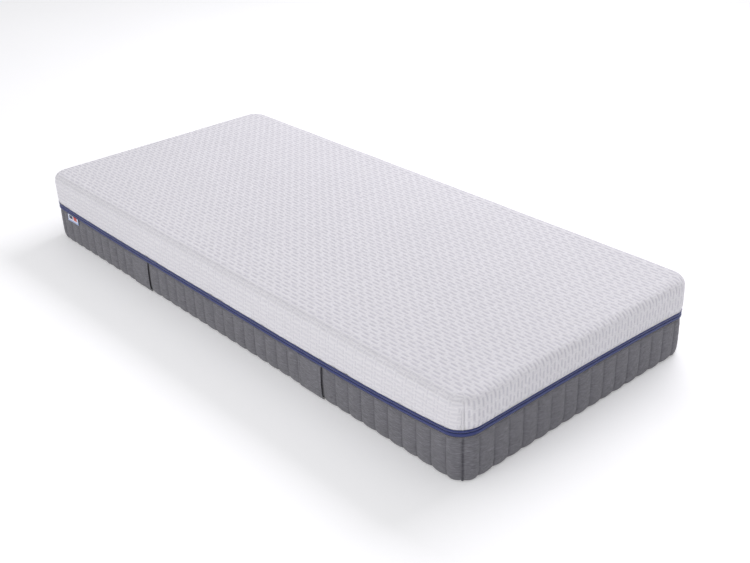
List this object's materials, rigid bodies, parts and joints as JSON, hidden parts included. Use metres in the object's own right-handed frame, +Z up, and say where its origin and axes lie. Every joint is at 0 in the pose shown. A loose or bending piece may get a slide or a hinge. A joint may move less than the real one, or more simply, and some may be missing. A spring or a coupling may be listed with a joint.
{
  "type": "memory foam mattress",
  "caption": "Single-bed foam mattress in a zip-off cover: white knitted top, quilted grey border with strap handles, layered foam inside.",
  "frame": {"origin": "middle of the underside, on the floor", "axes": "+X towards the foot end, +Y towards the back long side (the label is on the -Y side), +Z up"},
  "size_m": [2, 0.9136, 0.24],
  "materials": {
    "cover_knit": "white double-jersey knit with raised ribs",
    "lining_fleece": "white fibre fleece",
    "cover_seam": "white sewn seam",
    "zip_tape": "navy woven tape",
    "zip_coil": "navy coil zip",
    "zip_metal": "grey zinc",
    "border_knit": "grey melange knit, quilted",
    "handle_cloth": "grey melange knit, plain",
    "wadding": "fibre wadding",
    "border_welt": "dark grey sewn edge",
    "base_cloth": "grey cloth",
    "memory_foam": "cream open-cell foam",
    "transition_foam": "pale blue open-cell foam",
    "support_foam": "white open-cell foam",
    "label": "woven label"
  },
  "bodies": {
    "mattress_body": {"base_binding": "border_welt", "base_cloth": "base_cloth", "border_back": "border_knit", "border_foot": "border_knit", "border_front": "border_knit", "border_head": "border_knit", "border_wadding_back": "wadding", "border_wadding_foot": "wadding", "border_wadding_front": "wadding", "border_wadding_head": "wadding", "border_welt_back_foot": "border_welt", "border_welt_back_head": "border_welt", "border_welt_front_foot": "border_welt", "border_welt_front_head": "border_welt", "handle_back_1": "handle_cloth", "handle_back_2": "handle_cloth", "handle_front_1": "handle_cloth", "handle_front_2": "handle_cloth", "memory_foam": "memory_foam", "support_foam": "support_foam", "transition_foam": "transition_foam", "zip_coil_lower": "zip_coil", "zip_end_patch": "zip_tape", "zip_tape_lower": "zip_tape"},
    "upper_cover": {"upper_cover": "cover_knit", "upper_cover_lining": "lining_fleece", "zip_tape_upper": "zip_tape", "zip_coil_upper": "zip_coil", "cover_seam_back_foot": "cover_seam", "cover_seam_back_head": "cover_seam", "cover_seam_front_foot": "cover_seam", "cover_seam_front_head": "cover_seam"},
    "zip_slider": {"zip_slider": "zip_metal"},
    "zip_pull": {"zip_pull": "zip_metal"},
    "side_label": {"side_label": "label"}
  },
  "joints": [
    {"name": "cover_lift", "type": "slide", "parent": "mattress_body", "child": "upper_cover", "axis": [0, 0, 1], "range_m": [0, 0.12]},
    {"name": "slider_run", "type": "slide", "parent": "mattress_body", "child": "zip_slider", "axis": [1, 0, 0], "range_m": [0, 1.76]},
    {"name": "pull_turn", "type": "hinge", "parent": "zip_slider", "child": "zip_pull", "pos_m": [-0.88, 0.4509, 0.126], "axis": [0, 0, -1], "range_deg": [0, 175]},
    {"name": "label_flap", "type": "hinge", "parent": "mattress_body", "child": "side_label", "pos_m": [-0.86, -0.4481, 0.1167], "axis": [-1, 0, 0], "range_deg": [0, 90]}
  ]
}
